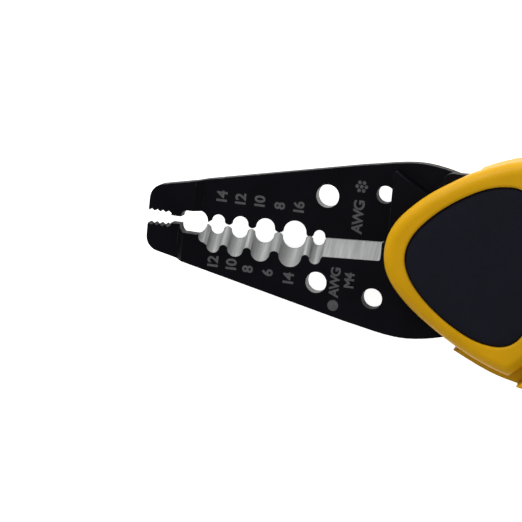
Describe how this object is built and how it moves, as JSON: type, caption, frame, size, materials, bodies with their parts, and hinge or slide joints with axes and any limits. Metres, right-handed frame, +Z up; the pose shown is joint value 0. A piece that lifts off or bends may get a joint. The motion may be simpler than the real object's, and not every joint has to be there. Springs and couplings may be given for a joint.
{
  "type": "wire stripper",
  "caption": "Spring-opened hand wire stripper and cutter with a serrated plier nose, graded stripping notches, wire-loop holes and two-tone moulded handles.",
  "frame": {"origin": "on the pivot's axis, on the flat of the rear thumb pad that the tool lies on", "axes": "+X from the nose to the handle ends, +Y across the tool towards the handle of the front blade, +Z up out of the face it lies on"},
  "size_m": [0.1836, 0.0566, 0.016],
  "materials": {
    "black_oxide_steel": "satin black oxide, bare ground bevels",
    "yellow_moulding": "semi-gloss moulded",
    "soft_overmould": "matte soft-touch",
    "pivot_steel": "turned, oiled",
    "spring_steel": "drawn wire",
    "seat_plastic": "moulded"
  },
  "bodies": {
    "rear_half": {"rear_blade": "black_oxide_steel", "rear_grip": "yellow_moulding", "rear_thumb_pad": "soft_overmould", "lower_front_inlay": "soft_overmould", "lower_back_inlay": "soft_overmould", "lower_palm_strip": "soft_overmould", "lower_spring_seat": "seat_plastic", "pivot_bolt": "pivot_steel", "spring_washer": "pivot_steel", "pivot_washer": "pivot_steel", "pivot_nut": "pivot_steel", "return_spring": "spring_steel"},
    "front_half": {"front_blade": "black_oxide_steel", "front_grip": "yellow_moulding", "front_thumb_pad": "soft_overmould", "upper_front_inlay": "soft_overmould", "upper_back_inlay": "soft_overmould", "upper_palm_strip": "soft_overmould", "upper_spring_seat": "seat_plastic"}
  },
  "joints": [
    {"name": "jaw_pivot", "type": "hinge", "parent": "rear_half", "child": "front_half", "pos_m": [0, 0, 0.008], "axis": [0, 0, 1], "range_deg": [-1.6, 22], "stiffness_Nm_per_rad": 0.3, "springref_deg": 20.05, "deforming": ["return_spring"]}
  ]
}
